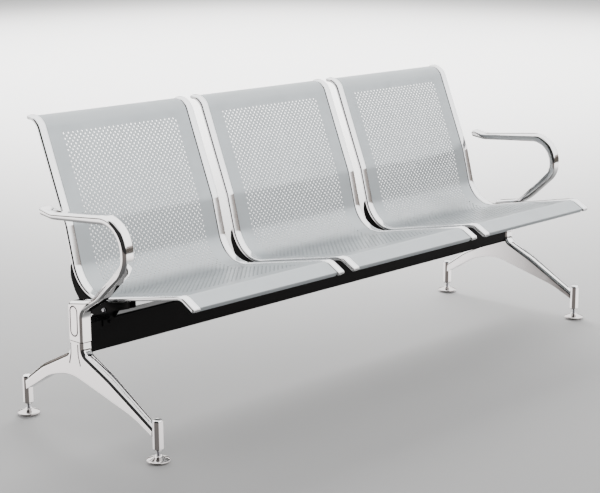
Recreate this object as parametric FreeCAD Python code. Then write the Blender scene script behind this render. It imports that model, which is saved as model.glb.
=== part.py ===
# Beam seating for three people.
# Three bent steel seats with chromed side rails stand on one steel beam, carried by two cast end frames.
# X runs along the bench, -Y is the front, +Z is up. The origin is on the floor, below the middle of the
# bench's length and depth. All sizes are in millimetres.

import FreeCAD
import Part
import math
import os

# Bench layout
bench_length = 1800.0
seat_count = 3
seat_gap = 33.0
seat_end_clearance = 37.0
seat_names = ["left", "middle", "right"]
side_names = ["left", "right"]

# Seat side profile: the front face of the side rails, as distance from the beam's middle and height
back_height = 783.0
back_top_corner = 220.5
top_curl_radius = 49.0
top_curl_end = 8.1
lumbar_setback = 111.5
lumbar_height = 516.0
lumbar_radius = 45.0
bend_setback = 64.5
bend_height = 334.5
bend_radius = 90.0
seat_crest_reach = 314.5
seat_crest_height = 407.0
seat_crest_radius = 42.0
seat_lip_run = 47.0
seat_lip_drop = 26.5

# Side rails: flattened tube with a rounded front, closed at both ends
rail_width = 26.0
rail_depth = 12.0
rail_edge = 3.0

# Seat shells: one bent and perforated plate, set back a little between its rails
plate_thickness = 1.5
plate_setback = 3.0
plate_crest_radius = 12.0
plate_end_gap = 5.0
hem_length = 12.0

# Perforation, drawn as a plain grid of square openings from below the top curl to behind the crest
openings_across = 8
openings_along = 13
opening_side_margin = 44.0
opening_top_margin = 84.0
opening_front_margin = 40.0
opening_share = 0.44
cutter_depth = 12.0

# Beam
beam_height = 80.0
beam_depth = 40.0
beam_wall = 2.0
beam_corner = 4.0
beam_clearance = 216.0

# Saddles: pressed plates that lap over the beam, one under each rail
saddle_width = 42.0
saddle_shift = 8.0
saddle_plate = 4.0
saddle_lip = 20.0
saddle_bend = 8.0
lug_length = 78.0
lug_headroom = 1.6
lug_clearance = 0.3

# Seat arms: pressed channels under the rails
arm_width = 24.0
arm_sheet = 3.0
arm_back_height = 407.0
arm_top_depth = 7.3
arm_belly_depth = 14.8
arm_belly_share = 0.766
arm_heel_depth = 8.3
arm_heel_share = 0.495
arm_foot_rear = 50.0
arm_foot_front = 43.5
arm_throat_reach = 63.0
arm_throat_height = 321.0
arm_front_reach = 124.0
arm_front_height = 340.0

# End frames: an armrest casting standing on a leg casting
frame_width = 35.0
column_depth = 54.0
joint_height = 248.0
armrest_edge = 5.0
leg_edge = 4.5

# Armrest outline
armrest_crest_height = 584.0
armrest_front_reach = 204.0
armrest_tip_reach = 131.0
armrest_tip_height = 563.0
armrest_tip_depth = 22.0
armrest_tip_lean = 3.0
armrest_tip_radius = 8.8
armrest_rear_height = 564.0
armrest_rear_depth = 19.0
armrest_front_depth = 25.0
armrest_dip_setback = 82.0
armrest_dip_radius = 65.0
armrest_outer_radius = 88.0
armrest_outer_rise = 9.0
armrest_inner_drop = 31.0
armrest_chin_height = 459.0
armrest_chin_radius = 75.0
armrest_inner_chin_radius = 65.0
strut_knee_reach = 104.5
strut_knee_height = 370.0
strut_knee_radius = 200.0
strut_foot_height = 325.0
strut_foot_radius = 22.0
strut_top_reach = 64.5
strut_top_height = 363.0
strut_top_radius = 90.0
shoulder_height = 347.0
shoulder_radius = 14.0

# Sunk panel and grooves on the outer face of the column
panel_width = 28.0
panel_height = 66.0
panel_gap = 14.0
panel_corner = 13.3
panel_depth = 2.5
column_groove_width = 5.0
column_groove_height = 42.0
column_groove_spread = 20.0
column_groove_depth = 1.5

# Legs
leg_front_reach = 285.5
leg_rear_reach = 231.5
leg_end_width = 25.0
leg_waist_reach = 60.0
crotch_radius = 22.0
front_crotch_height = 220.0
front_knee_reach = 120.0
front_knee_height = 177.0
front_knee_radius = 260.0
front_ankle_height = 84.0
rear_crotch_height = 217.0
rear_knee_reach = 150.0
rear_knee_height = 157.5
rear_knee_radius = 220.0
rear_ankle_height = 100.5
arch_front_height = 62.0
arch_front_reach = 205.0
arch_front_rise = 100.0
arch_front_radius = 300.0
arch_top_setback = 25.0
arch_top_height = 163.0
arch_top_radius = 150.0
arch_rear_reach = 110.0
arch_rear_rise = 139.0
arch_rear_radius = 150.0
arch_rear_height = 69.0
socket_diameter = 26.0
socket_bottom = 29.5
socket_top = 109.0
socket_edge = 3.0
channel_width = 9.0
channel_depth = 2.5
channel_start = 50.0
channel_end = 26.0

# Spigots of both castings, inside the beam's end
spigot_length = 50.0
spigot_play = 0.3
spigot_chamfer = 2.0

# Frame bolt, from under the leg's arch up into the armrest casting
frame_bolt_diameter = 10.0
frame_bolt_hole = 10.6
frame_bolt_head = 16.0
frame_bolt_head_height = 6.4
frame_bolt_seat = 178.0
frame_bolt_grip = 30.0
frame_bolt_recess = 21.0

# Levelling feet
stem_diameter = 10.0
stem_play = 0.08
stem_bottom = 8.0
stem_top = 72.0
stem_room = 12.0
foot_diameter = 58.0
foot_sole_diameter = 51.0
foot_rim_height = 6.0
foot_neck_diameter = 18.0
foot_neck_height = 17.5
foot_flats = 24
swivel_play = 0.05
swivel_gap = 0.3

# Distance below which two places count as one
fine = 1e-5

# Places worked out from the sizes above
seats_length = bench_length - 2 * (frame_width + seat_end_clearance)
seat_width = (seats_length - (seat_count - 1) * seat_gap) / seat_count
seat_pitch = seat_width + seat_gap
frame_middle = (bench_length - frame_width) / 2
beam_length = bench_length - 2 * frame_width
beam_top = beam_clearance + beam_height
saddle_top = beam_top + saddle_plate
beam_setback = 50.0


up = FreeCAD.Vector(0, 0, 1)


def at(y, z, x=0.0):
    return FreeCAD.Vector(x, y, z)


def unit(start, end):
    length = math.hypot(end[0] - start[0], end[1] - start[1])
    return ((end[0] - start[0]) / length, (end[1] - start[1]) / length)


def turn_between(before, after):
    return before[0] * after[1] - before[1] * after[0]


# The corners of a path, moved sideways by a distance to the left of its run; radii follow
def offset_corners(corners, distance):
    if distance == 0:
        return list(corners)
    runs = [unit(a, b) for a, b in zip(corners, corners[1:])]
    moved = [(corners[0][0] - runs[0][1] * distance, corners[0][1] + runs[0][0] * distance, 0.0)]
    for (y, z, radius), before, after in zip(corners[1:], runs, runs[1:]):
        turn = turn_between(before, after)
        share = (1 - before[0] * after[0] - before[1] * after[1]) / turn
        side = 1 if turn > 0 else -1
        new_y = y - distance * before[1] - distance * share * before[0]
        new_z = z + distance * before[0] - distance * share * before[1]
        moved.append((new_y, new_z, radius - side * distance if radius else 0.0))
    last = runs[-1]
    moved.append((corners[-1][0] - last[1] * distance, corners[-1][1] + last[0] * distance, 0.0))
    return moved


# Straight and curved edges through a list of corners (y, z, radius)
def rounded_edges(corners, closed=False):
    count = len(corners)
    joints = []
    for i, (y, z, radius) in enumerate(corners):
        if radius == 0 or (not closed and i in (0, count - 1)):
            joints.append((at(y, z), None, at(y, z)))
            continue
        back = unit((y, z), corners[i - 1])
        ahead = unit((y, z), corners[(i + 1) % count])
        half = math.acos(max(-1.0, min(1.0, back[0] * ahead[0] + back[1] * ahead[1]))) / 2
        reach = radius / math.tan(half)
        inward = unit((0, 0), (back[0] + ahead[0], back[1] + ahead[1]))
        depth = radius / math.sin(half) - radius
        joints.append((
            at(y + back[0] * reach, z + back[1] * reach),
            at(y + inward[0] * depth, z + inward[1] * depth),
            at(y + ahead[0] * reach, z + ahead[1] * reach),
        ))
    edges = []
    for i, (start, middle, end) in enumerate(joints):
        if middle is not None:
            edges.append(Part.Arc(start, middle, end).toShape())
        if i + 1 < count or closed:
            following = joints[(i + 1) % count][0]
            if end.distanceToPoint(following) > fine:
                edges.append(Part.LineSegment(end, following).toShape())
    return edges


# A slab of the given width along X, from its side outline
def slab(corners, x_start, width):
    wire = Part.Wire(rounded_edges(corners, closed=True))
    solid = Part.Face(wire).extrude(FreeCAD.Vector(width, 0, 0))
    solid.translate(FreeCAD.Vector(x_start, 0, 0))
    return solid


# Closed outline of a band between two lines beside the same path
def band_outline(near, far):
    def with_square_ends(line):
        return [(line[0][0], line[0][1], 0.0)] + line[1:-1] + [(line[-1][0], line[-1][1], 0.0)]
    return with_square_ends(near) + with_square_ends(far)[::-1]


# Edges of a slab that lie in its two side faces
def side_face_edges(solid):
    box = solid.BoundBox
    return [e for e in solid.Edges
            if e.BoundBox.XLength < fine and min(abs(e.BoundBox.XMin - box.XMin),
                                                 abs(e.BoundBox.XMax - box.XMax)) < fine]


def cylinder(diameter, length, base, axis):
    return Part.makeCylinder(diameter / 2, length, base, axis)


def hexagon(width, height, base, axis):
    radius = width / math.sqrt(3)
    points = [FreeCAD.Vector(radius * math.cos(k * math.pi / 3), radius * math.sin(k * math.pi / 3), 0)
              for k in range(7)]
    prism = Part.Face(Part.makePolygon(points)).extrude(FreeCAD.Vector(0, 0, height))
    prism.Placement = FreeCAD.Placement(base, FreeCAD.Rotation(FreeCAD.Vector(0, 0, 1), axis))
    return prism


# A screw whose head sits on a face: the shank runs along -axis into the work
def hex_screw(head_width, head_height, diameter, length, seat, axis):
    head = hexagon(head_width, head_height, seat, axis)
    shank = cylinder(diameter, length, seat, axis * -1)
    return head.fuse(shank).removeSplitter()


# Seats
def curl_reach():
    lean = math.atan2(back_top_corner - lumbar_setback, back_height - lumbar_height)
    return top_curl_radius * math.tan((math.pi / 2 - lean) / 2)


rail_line = [
    (back_top_corner + curl_reach() + top_curl_end, back_height, 0.0),
    (back_top_corner, back_height, top_curl_radius),
    (lumbar_setback, lumbar_height, lumbar_radius),
    (bend_setback, bend_height, bend_radius),
    (-seat_crest_reach, seat_crest_height, seat_crest_radius),
    (-seat_crest_reach - seat_lip_run, seat_crest_height - seat_lip_drop, 0.0),
]


def seat_middle(seat):
    return (seat - (seat_count - 1) / 2) * seat_pitch


# Left edge of one side rail of one seat
def rail_start(seat, side):
    half = seat_width / 2
    return seat_middle(seat) + (-half if side == 0 else half - rail_width)


def side_rail(seat, side):
    outline = band_outline(rail_line, offset_corners(rail_line, rail_depth))
    bar = slab(outline, rail_start(seat, side), rail_width)
    front = Part.Wire(rounded_edges(rail_line))
    return bar.makeChamfer(rail_edge, [e for e in side_face_edges(bar) if on_line(e, front)])


# True where an edge of a slab runs along a line drawn at X = 0
def on_line(edge, line):
    middle = edge.valueAt((edge.FirstParameter + edge.LastParameter) / 2)
    spot = Part.Vertex(at(middle.y, middle.z))
    return line.distToShape(spot)[0] < 10 * fine


# Front face line of the plate, shortened at both ends and folded over to a stiffening hem
def plate_line():
    line = offset_corners(rail_line, plate_setback)
    y, z, _ = line[4]
    line[4] = (y, z, plate_crest_radius)
    top_run = unit(line[1], line[0])
    lip_run = unit(line[4], line[5])
    top_y = line[0][0] - top_run[0] * plate_end_gap
    top_z = line[0][1] - top_run[1] * plate_end_gap
    lip_y = line[5][0] - lip_run[0] * plate_end_gap
    lip_z = line[5][1] - lip_run[1] * plate_end_gap
    top_hem = (top_y, top_z - hem_length, 0.0)
    lip_hem = (lip_y - lip_run[1] * hem_length, lip_z + lip_run[0] * hem_length, 0.0)
    return [top_hem, (top_y, top_z, 0.0)] + line[1:5] + [(lip_y, lip_z, 0.0), lip_hem]


# Point and direction at a distance along a line of edges
def station(edges, distance):
    for edge in edges[:-1]:
        if distance <= edge.Length:
            break
        distance -= edge.Length
    else:
        edge = edges[-1]
    place = edge.getParameterByLength(distance)
    return edge.valueAt(place), edge.tangentAt(place)


# Square cutters in even rows across the plate and along its front face line
def opening_grid(width):
    edges = rounded_edges(plate_line())
    first = hem_length + opening_top_margin
    last = sum(edge.Length for edge in edges[:-3]) - opening_front_margin
    along_pitch = (last - first) / openings_along
    across_pitch = (width - 2 * opening_side_margin) / openings_across
    length, breadth = along_pitch * opening_share, across_pitch * opening_share
    cutters = []
    for row in range(openings_along):
        spot, run = station(edges, first + along_pitch * (row + 0.5))
        for column in range(openings_across):
            cutter = Part.makeBox(breadth, length, cutter_depth)
            cutter.translate(FreeCAD.Vector(-breadth / 2, -length / 2, -cutter_depth / 2))
            cutter.rotate(FreeCAD.Vector(0, 0, 0), FreeCAD.Vector(1, 0, 0), math.degrees(math.atan2(run.z, run.y)))
            cutter.translate(at(spot.y, spot.z, (column + 0.5) * across_pitch - width / 2 + opening_side_margin))
            cutters.append(cutter)
    return Part.makeCompound(cutters)


# Seat shell standing at the middle of the bench
def seat_shell():
    line = plate_line()
    width = seat_width - 2 * rail_width
    outline = band_outline(line, offset_corners(line, plate_thickness))
    return slab(outline, -width / 2, width).cut(opening_grid(width))


# Seat arms: a pressed channel with its web against the rail, open to the rear and downwards
def arm_start(seat, side):
    return rail_start(seat, side) + (rail_width - arm_width) / 2


# Outward direction of the outer flange of a seat arm
def outward(side):
    return FreeCAD.Vector(-1 if side == 0 else 1, 0, 0)


def extended(start, end, length):
    run = unit(start, end)
    return (end[0] + run[0] * length, end[1] + run[1] * length, 0.0)


# Everything in front of a line at the given depth behind the rail's face
def sitting_side(depth, x_start, width):
    line = offset_corners(rail_line, depth)
    high = extended(line[3], line[2], lumbar_height)
    low = extended(line[3], line[4], seat_crest_reach)
    return slab([high, line[3], low, (low[0], high[1], 0.0)], x_start, width)


# Corner of a seat arm's rear edge: a share of its height up, and a depth behind the rail's back
def rear_corner(share, depth):
    height = saddle_top + share * (arm_back_height - saddle_top)
    rear = offset_corners(rail_line, rail_depth)
    (low_y, low_z, _), (high_y, high_z, _) = rear[3], rear[2]
    return (low_y + (height - low_z) / (high_z - low_z) * (high_y - low_y) + depth, height, 0.0)


def arm_outline():
    rail_height = on_run(rail_line[3], rail_line[4], -arm_front_reach)
    return [
        rear_corner(1.0, arm_top_depth),
        rear_corner(arm_belly_share, arm_belly_depth),
        rear_corner(arm_heel_share, arm_heel_depth),
        (arm_foot_rear, saddle_top, 0.0),
        (-arm_foot_front, saddle_top, 0.0),
        (-arm_throat_reach, arm_throat_height, 0.0),
        (-arm_front_reach, arm_front_height, 0.0),
        (-arm_front_reach, rail_height, 0.0),
        (bend_setback, arm_back_height, 0.0),
    ]


# Height of a straight run between two corners at a given distance
def on_run(start, end, y):
    share = (y - start[0]) / (end[0] - start[0])
    return start[1] + share * (end[1] - start[1])


def seat_arm(seat, side):
    start = arm_start(seat, side)
    channel = slab(arm_outline(), start, arm_width)
    channel = channel.cut(sitting_side(rail_depth, start, arm_width))
    pocket_width = arm_width - 2 * arm_sheet
    pocket = slab(arm_outline(), start + arm_sheet, pocket_width)
    pocket = pocket.cut(sitting_side(rail_depth + arm_sheet, start, arm_width))
    return channel.cut(pocket)


# Saddles: a bridge with two lips over the beam, and a lug that fills the seat arm's channel
def saddle_middle(seat, side):
    return arm_start(seat, side) + arm_width / 2 - outward(side).x * saddle_shift


def saddle(seat, side):
    half = beam_depth / 2 + saddle_plate
    bottom = beam_top - saddle_lip
    outline = [
        (-half, bottom, 0.0), (-half, saddle_top, saddle_bend), (half, saddle_top, saddle_bend),
        (half, bottom, 0.0), (half - saddle_plate, bottom, 0.0), (half - saddle_plate, beam_top, 0.0),
        (saddle_plate - half, beam_top, 0.0), (saddle_plate - half, bottom, 0.0),
    ]
    bridge = slab(outline, saddle_middle(seat, side) - saddle_width / 2, saddle_width)
    web = Part.Wire(rounded_edges(offset_corners(rail_line, rail_depth + arm_sheet)))
    lug_height = web.BoundBox.ZMin - lug_headroom - saddle_top
    lug_width = arm_width - 2 * (arm_sheet + lug_clearance)
    lug = Part.makeBox(lug_width, lug_length, lug_height)
    lug.translate(at(-lug_length / 2, saddle_top, arm_start(seat, side) + (arm_width - lug_width) / 2))
    return bridge.fuse(lug).removeSplitter()


# Beam
def box_section(height, depth, corner, bottom):
    half = depth / 2
    outline = [(-half, bottom, corner), (half, bottom, corner),
               (half, bottom + height, corner), (-half, bottom + height, corner)]
    return slab(outline, -beam_length / 2, beam_length)


def beam():
    outer = box_section(beam_height, beam_depth, beam_corner, beam_clearance)
    inner = box_section(beam_height - 2 * beam_wall, beam_depth - 2 * beam_wall,
                        beam_corner - beam_wall, beam_clearance + beam_wall)
    return outer.cut(inner)


# End frames, built for the left end at X = 0 and mirrored for the right end
def spigot(low, high):
    depth = beam_depth - 2 * (beam_wall + spigot_play)
    bar = Part.makeBox(frame_width / 2 + spigot_length, depth, high - low)
    bar.translate(at(-depth / 2, low))
    outer_height = low if low < joint_height else high
    corners = [e for e in bar.Edges if e.BoundBox.YLength < fine and e.BoundBox.ZLength < fine
               and abs(e.BoundBox.ZMin - outer_height) < fine]
    return bar.makeChamfer(spigot_chamfer, corners)


def armrest_outline():
    front = -armrest_front_reach
    inner_front = front + armrest_front_depth
    half_column = column_depth / 2
    top_corner = armrest_crest_height + armrest_outer_rise
    tip_half = armrest_tip_depth / 2
    inner_radius = armrest_outer_radius - armrest_front_depth
    return [
        (-half_column, joint_height, 0.0),
        (-half_column, strut_foot_height, strut_foot_radius),
        (-strut_knee_reach, strut_knee_height, strut_knee_radius),
        (front, armrest_chin_height, armrest_chin_radius),
        (front, top_corner, armrest_outer_radius),
        (armrest_dip_setback, armrest_rear_height, armrest_dip_radius),
        (armrest_tip_reach - armrest_tip_lean, armrest_tip_height + tip_half, armrest_tip_radius),
        (armrest_tip_reach + armrest_tip_lean, armrest_tip_height - tip_half, armrest_tip_radius),
        (armrest_dip_setback, armrest_rear_height - armrest_rear_depth, armrest_dip_radius),
        (inner_front, top_corner - armrest_inner_drop, inner_radius),
        (inner_front, armrest_chin_height, armrest_inner_chin_radius),
        (-strut_top_reach, strut_top_height, strut_top_radius),
        (half_column, shoulder_height, shoulder_radius),
        (half_column, joint_height, 0.0),
    ]


def on_joint(edge):
    box = edge.BoundBox
    return box.ZLength < fine and abs(box.ZMin - joint_height) < fine


def sunk_panel():
    half = panel_width / 2
    low = joint_height + panel_gap
    high = low + panel_height
    outline = [(-half, low, panel_corner), (half, low, panel_corner),
               (half, high, panel_corner), (-half, high, panel_corner)]
    return slab(outline, -frame_width / 2, panel_depth)


def armrest_casting():
    blank = slab(armrest_outline(), -frame_width / 2, frame_width)
    body = blank.makeChamfer(armrest_edge, [e for e in side_face_edges(blank) if not on_joint(e)])
    body = body.cut(sunk_panel())
    body = body.fuse(spigot(joint_height, beam_top - beam_wall - spigot_play)).removeSplitter()
    return body.cut(cylinder(frame_bolt_diameter, frame_bolt_grip, at(0, joint_height), up))


def leg_outline():
    half_column = column_depth / 2
    return [
        (-half_column, joint_height, 0.0),
        (-half_column, front_crotch_height, crotch_radius),
        (-front_knee_reach, front_knee_height, front_knee_radius),
        (-leg_front_reach, front_ankle_height, 0.0),
        (-leg_front_reach, arch_front_height, 0.0),
        (-arch_front_reach, arch_front_rise, arch_front_radius),
        (arch_top_setback, arch_top_height, arch_top_radius),
        (arch_rear_reach, arch_rear_rise, arch_rear_radius),
        (leg_rear_reach, arch_rear_height, 0.0),
        (leg_rear_reach, rear_ankle_height, 0.0),
        (rear_knee_reach, rear_knee_height, rear_knee_radius),
        (half_column, rear_crotch_height, crotch_radius),
        (half_column, joint_height, 0.0),
    ]


# Plan of the legs: full width at the column, narrower towards both sockets
def leg_plan():
    wide = frame_width / 2
    narrow = leg_end_width / 2
    corners = [
        (-leg_front_reach, -narrow, 0.0), (-leg_waist_reach, -wide, 0.0),
        (leg_waist_reach, -wide, 0.0), (leg_rear_reach, -narrow, 0.0),
        (leg_rear_reach, narrow, 0.0), (leg_waist_reach, wide, 0.0),
        (-leg_waist_reach, wide, 0.0), (-leg_front_reach, narrow, 0.0),
    ]
    prism = slab(corners, 0.0, joint_height)
    prism.rotate(FreeCAD.Vector(0, 0, 0), FreeCAD.Vector(0, 1, 0), -90)
    return prism


# Long edges of the legs' sides; the creases across a side and the ends inside the sockets stay as they are
def leg_side_edges(solid):
    found = []
    for edge in solid.Edges:
        box = edge.BoundBox
        upright = box.XLength < fine and box.YLength < fine
        crosswise = box.XLength > leg_end_width - fine
        away = abs(edge.CenterOfMass.y) > column_depth / 2 + fine
        if not on_joint(edge) and not crosswise and not (upright and away):
            found.append(edge)
    return found


# Shallow channel along the top of one leg, given its crotch, knee and ankle
def leg_channel(crotch, knee, ankle):
    side = 1 if crotch[0] < 0 else -1
    start = (crotch[0] - side * channel_start, on_run(crotch, knee, crotch[0] - side * channel_start), 0.0)
    end = (ankle[0] + side * channel_end, on_run(knee, ankle, ankle[0] + side * channel_end), 0.0)
    line = [start, knee, end]
    outline = band_outline(offset_corners(line, side * channel_depth),
                           offset_corners(line, -side * channel_width))
    return slab(outline, -channel_width / 2, channel_width)


def leg_socket(y):
    tube = cylinder(socket_diameter, socket_top - socket_bottom, at(y, socket_bottom), up)
    top_rim = [e for e in tube.Edges if e.BoundBox.ZMin > socket_top - fine]
    return tube.makeChamfer(socket_edge, top_rim)


def leg_casting():
    blank = slab(leg_outline(), -frame_width / 2, frame_width).common(leg_plan())
    body = blank.makeChamfer(leg_edge, leg_side_edges(blank))
    corners = leg_outline()
    body = body.cut(leg_channel(*corners[1:4]))
    body = body.cut(leg_channel(*corners[-2:-5:-1]))
    for y in (-leg_front_reach, leg_rear_reach):
        body = body.fuse(leg_socket(y))
    body = body.fuse(spigot(beam_clearance + beam_wall + spigot_play, joint_height)).removeSplitter()
    for y in (-leg_front_reach, leg_rear_reach):
        bore = cylinder(stem_diameter + 2 * stem_play, stem_top + stem_room - socket_bottom,
                        at(y, socket_bottom), up)
        body = body.cut(bore)
    for side in (-1, 1):
        groove = Part.makeBox(column_groove_depth, column_groove_width, column_groove_height)
        groove.translate(at((side * column_groove_spread - column_groove_width) / 2,
                            joint_height - column_groove_height, -frame_width / 2))
        body = body.cut(groove)
    body = body.cut(cylinder(frame_bolt_hole, joint_height - frame_bolt_seat, at(0, frame_bolt_seat), up))
    return body.cut(cylinder(frame_bolt_recess, frame_bolt_seat, at(0, 0), up))


def frame_bolt():
    length = joint_height - frame_bolt_seat + frame_bolt_grip
    return hex_screw(frame_bolt_head, frame_bolt_head_height, frame_bolt_diameter, length,
                     at(0, frame_bolt_seat), up * -1)


# Feet
# Corners of the foot's outline at one height, drawn with many small flats
def foot_ring(diameter, height, y):
    turns = [2 * math.pi * k / foot_flats for k in range(foot_flats)]
    return [at(y + diameter / 2 * math.sin(a), height, diameter / 2 * math.cos(a)) for a in turns]


def polygon_face(points):
    return Part.Face(Part.makePolygon(points + points[:1]))


# A flat cone with a blind hole for the stem
def foot_base(y):
    rings = [
        foot_ring(foot_sole_diameter, 0.0, y),
        foot_ring(foot_diameter, foot_rim_height, y),
        foot_ring(foot_neck_diameter, foot_neck_height, y),
    ]
    faces = [polygon_face(rings[0]), polygon_face(rings[-1])]
    for low, high in zip(rings, rings[1:]):
        for k in range(foot_flats):
            faces.append(polygon_face([low[k - 1], low[k], high[k], high[k - 1]]))
    cone = Part.makeSolid(Part.makeShell(faces))
    bore = cylinder(stem_diameter + 2 * swivel_play, foot_neck_height, at(y, stem_bottom - swivel_gap), up)
    return cone.cut(bore)


def foot_stem(y):
    return cylinder(stem_diameter, stem_top - stem_bottom, at(y, stem_bottom), up)


# Pieces of the left end frame, and their mirror images for the right end
def frame_pieces():
    pieces = {
        "armrest_casting": armrest_casting(),
        "leg_casting": leg_casting(),
        "frame_bolt": frame_bolt(),
    }
    for place, y in (("front", -leg_front_reach), ("rear", leg_rear_reach)):
        pieces["foot_base_" + place] = foot_base(y)
        pieces["foot_stem_" + place] = foot_stem(y)
    return pieces


def all_pieces():
    pieces = {"beam": beam()}
    shell = seat_shell()
    for seat, seat_name in enumerate(seat_names):
        pieces["seat_shell_" + seat_name] = shell.translated(at(0, 0, seat_middle(seat)))
        for side, side_name in enumerate(side_names):
            place = seat_name + "_seat_" + side_name
            pieces["side_rail_" + place] = side_rail(seat, side)
            pieces["seat_arm_" + place] = seat_arm(seat, side)
            pieces["saddle_" + place] = saddle(seat, side)
    for name, left in frame_pieces().items():
        right = left.mirror(FreeCAD.Vector(0, 0, 0), FreeCAD.Vector(1, 0, 0))
        left.translate(FreeCAD.Vector(-frame_middle, 0, 0))
        right.translate(FreeCAD.Vector(frame_middle, 0, 0))
        pieces[name + "_left"] = left
        pieces[name + "_right"] = right
    return pieces


os.makedirs("parts", exist_ok=True)
for name, shape in all_pieces().items():
    shape.translate(at(beam_setback, 0))
    shape.exportStep("parts/" + name + ".step")
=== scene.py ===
# Beam seating for three people: perforated seats between chromed rails, on one black beam
# that two polished cast end frames carry.

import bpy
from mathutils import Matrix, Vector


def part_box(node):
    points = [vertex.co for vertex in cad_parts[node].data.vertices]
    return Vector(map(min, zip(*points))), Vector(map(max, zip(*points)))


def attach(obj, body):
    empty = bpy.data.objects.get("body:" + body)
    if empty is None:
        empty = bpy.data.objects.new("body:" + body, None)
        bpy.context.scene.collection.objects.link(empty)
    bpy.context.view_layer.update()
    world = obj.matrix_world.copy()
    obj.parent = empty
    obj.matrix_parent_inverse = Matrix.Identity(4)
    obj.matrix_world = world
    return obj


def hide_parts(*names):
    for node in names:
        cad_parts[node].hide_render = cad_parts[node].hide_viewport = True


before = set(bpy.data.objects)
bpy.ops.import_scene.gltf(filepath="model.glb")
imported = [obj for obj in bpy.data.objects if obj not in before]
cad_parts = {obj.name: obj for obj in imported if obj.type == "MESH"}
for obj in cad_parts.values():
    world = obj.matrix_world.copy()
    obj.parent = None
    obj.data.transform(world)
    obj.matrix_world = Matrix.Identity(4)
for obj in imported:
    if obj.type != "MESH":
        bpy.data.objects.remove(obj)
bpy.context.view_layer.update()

import math

import bmesh
import bpy
from mathutils import Matrix, Vector

# Studio floor and camera
# A plain pale floor that runs on behind the bench. The camera stands where the photograph was taken
# from: in front of the bench's left end, well above its armrests.
camera_place = Vector((-3.128, -2.8625, 1.309))
camera_yaw = math.radians(46.20)
camera_pitch = math.radians(12.77)
camera_roll = math.radians(-0.26)
photo_width = 600
focal_length_in_pixels = 1516.9
sensor_width = 36.0
floor_size = 80.0

forward = Vector((math.sin(camera_yaw) * math.cos(camera_pitch),
                  math.cos(camera_yaw) * math.cos(camera_pitch),
                  -math.sin(camera_pitch)))
camera = bpy.data.objects.new("camera", bpy.data.cameras.new("camera"))
camera.data.sensor_width = sensor_width
camera.data.lens = focal_length_in_pixels / photo_width * sensor_width
camera.data.clip_end = 200.0
level = forward.to_track_quat("-Z", "Y").to_matrix().to_4x4()
camera.matrix_world = Matrix.Translation(camera_place) @ level @ Matrix.Rotation(camera_roll, 4, "Z")
bpy.context.scene.collection.objects.link(camera)
bpy.context.scene.camera = camera


def new_material(name):
    material = bpy.data.materials.new(name)
    material.use_nodes = True
    return material, material.node_tree.nodes, material.node_tree.links


floor_paint, nodes, links = new_material("studio_floor")
nodes["Principled BSDF"].inputs["Base Color"].default_value = (0.37, 0.365, 0.36, 1.0)
nodes["Principled BSDF"].inputs["Roughness"].default_value = 0.7
floor_mesh = bmesh.new()
bmesh.ops.create_grid(floor_mesh, x_segments=1, y_segments=1, size=floor_size / 2)
floor_data = bpy.data.meshes.new("studio_floor")
floor_mesh.to_mesh(floor_data)
floor_mesh.free()
floor_data.materials.append(floor_paint)
floor = bpy.data.objects.new("studio_floor", floor_data)
floor.visible_glossy = False
bpy.context.scene.collection.objects.link(floor)


# Studio lights
# Large soft panels above, beside and behind the bench. The bright metal shows the room instead: white
# walls, a dark band at eye height, and a dark wall behind the camera and to its left.
def soft_panel(name, place, target, size, watts):
    lamp = bpy.data.lights.new(name, "AREA")
    lamp.shape = "RECTANGLE"
    lamp.size, lamp.size_y = size
    lamp.energy = watts
    panel = bpy.data.objects.new(name, lamp)
    aim = (Vector(target) - Vector(place)).to_track_quat("-Z", "Y").to_matrix().to_4x4()
    panel.matrix_world = Matrix.Translation(Vector(place)) @ aim
    panel.visible_glossy = False
    bpy.context.scene.collection.objects.link(panel)


soft_panel("panel_above", (-0.3, -0.6, 3.6), (0.0, 0.0, 0.3), (4.5, 3.0), 60.0)
soft_panel("panel_left", (-3.6, -2.0, 2.4), (-0.3, 0.0, 0.4), (2.5, 2.0), 60.0)
soft_panel("panel_front", (1.8, -3.8, 2.2), (0.2, 0.0, 0.4), (2.5, 1.6), 45.0)
soft_panel("panel_behind", (6.3, 6.6, 2.6), (6.3, 6.6, 0.0), (10.6, 10.6), 5200.0)

room_brightness = 2.8
room_light = (0.56, 0.57, 0.59)
world = bpy.data.worlds.new("studio")
world.use_nodes = True
bpy.context.scene.world = world
nodes, links = world.node_tree.nodes, world.node_tree.links
direction = nodes.new("ShaderNodeTexCoord")
split = nodes.new("ShaderNodeSeparateXYZ")
height_map = nodes.new("ShaderNodeMapRange")
around = nodes.new("ShaderNodeTexGradient")
white_walls = nodes.new("ShaderNodeValToRGB")
dark_wall = nodes.new("ShaderNodeValToRGB")
wall_edges = nodes.new("ShaderNodeValToRGB")
walls = nodes.new("ShaderNodeMixRGB")
brightened = nodes.new("ShaderNodeMixRGB")
paths = nodes.new("ShaderNodeLightPath")
seen_or_lit = nodes.new("ShaderNodeMixRGB")
height_map.inputs["From Min"].default_value = -1.0
around.gradient_type = "RADIAL"


def set_ramp(ramp, stops):
    """Fills a colour ramp with places and tones, from the floor to overhead or once around the room."""
    while len(ramp.color_ramp.elements) < len(stops):
        ramp.color_ramp.elements.new(1.0)
    for element, (place, tone) in zip(ramp.color_ramp.elements, stops):
        element.position = place
        element.color = (*tone, 1.0) if isinstance(tone, tuple) else (tone, tone, tone, 1.0)


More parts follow.
